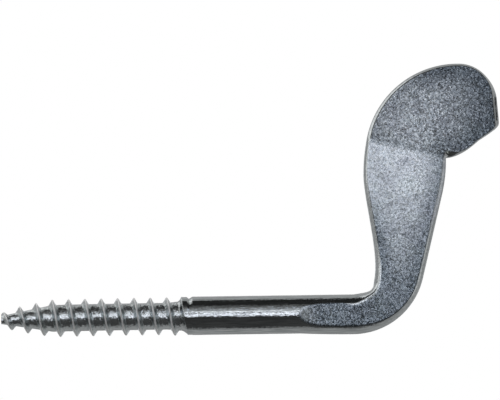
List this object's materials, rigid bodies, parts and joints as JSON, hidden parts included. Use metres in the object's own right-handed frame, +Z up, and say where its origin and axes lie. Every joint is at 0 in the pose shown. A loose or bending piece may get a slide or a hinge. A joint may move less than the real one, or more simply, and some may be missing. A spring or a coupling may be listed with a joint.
{
  "type": "screw hook",
  "caption": "Steel screw hook: a wood-screw thread and plain shank that turn up into a flattened blade with a creased, bent-back toe.",
  "frame": {"origin": "on the shank's axis, where the thread ends and the shank begins", "axes": "+X along the shank away from the tip, +Z up the blade, and the blade's front faces -Y"},
  "size_m": [0.0779, 0.0087, 0.0419],
  "materials": {
    "zinc_plated_steel": "bright zinc plating, smooth on the shank and thread, granular on the pressed faces"
  },
  "bodies": {
    "root": {"screw_hook": "zinc_plated_steel"}
  },
  "joints": []
}
